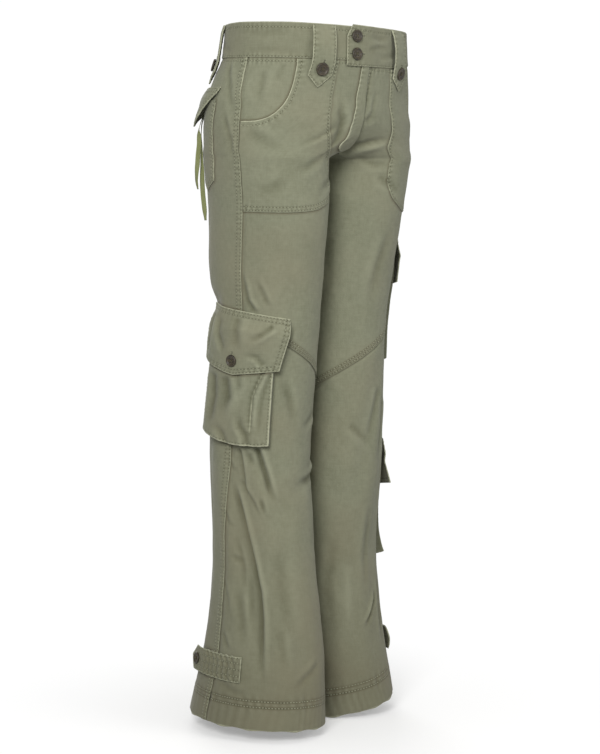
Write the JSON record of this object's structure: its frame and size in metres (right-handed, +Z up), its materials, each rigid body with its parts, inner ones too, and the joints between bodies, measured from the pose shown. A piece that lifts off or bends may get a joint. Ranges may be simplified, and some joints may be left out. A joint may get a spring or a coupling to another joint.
{
  "type": "pair of cargo trousers",
  "caption": "Low-rise flared cotton canvas cargo trousers, filled out as worn, with flapped leg pockets, buttoned belt tabs, hip patches, ankle tabs and tape ties.",
  "frame": {"origin": "centre of the waistband's upper ring, where the wearer's hips hold the garment up", "axes": "+Z up along the garment's length; -Y is the front of the garment and +X the wearer's left"},
  "size_m": [0.3602, 0.3068, 1.0506],
  "materials": {
    "canvas": "washed cotton canvas in khaki green",
    "button": "dark horn-look polyester button, soft sheen",
    "tape": "woven cotton tape in light green"
  },
  "bodies": {
    "root": {"front_upper_left": "canvas", "front_upper_right": "canvas", "front_lower_left": "canvas", "front_lower_right": "canvas", "back_left": "canvas", "back_right": "canvas", "waistband_left": "canvas", "waistband_right": "canvas", "fly": "canvas", "hip_patch_left": "canvas", "hip_patch_right": "canvas", "back_pocket_left": "canvas", "back_pocket_right": "canvas", "back_flap_left": "canvas", "back_flap_right": "canvas", "front_tab_left": "canvas", "front_tab_right": "canvas", "back_tab_left": "canvas", "back_tab_right": "canvas", "cargo_pocket_right": "canvas", "cargo_flap_right": "canvas", "thigh_pocket_left": "canvas", "thigh_flap_left": "canvas", "calf_pocket_left": "canvas", "calf_flap_left": "canvas", "ankle_tab_left": "canvas", "ankle_tab_right": "canvas", "waist_button_upper": "button", "waist_button_lower": "button", "front_tab_left_button": "button", "front_tab_right_button": "button", "back_tab_left_button": "button", "back_tab_right_button": "button", "cargo_flap_right_button": "button", "thigh_flap_left_button": "button", "calf_flap_left_button": "button", "ankle_button_left": "button", "ankle_button_right": "button", "tie_inner": "tape", "tie_outer": "tape"}
  },
  "joints": []
}
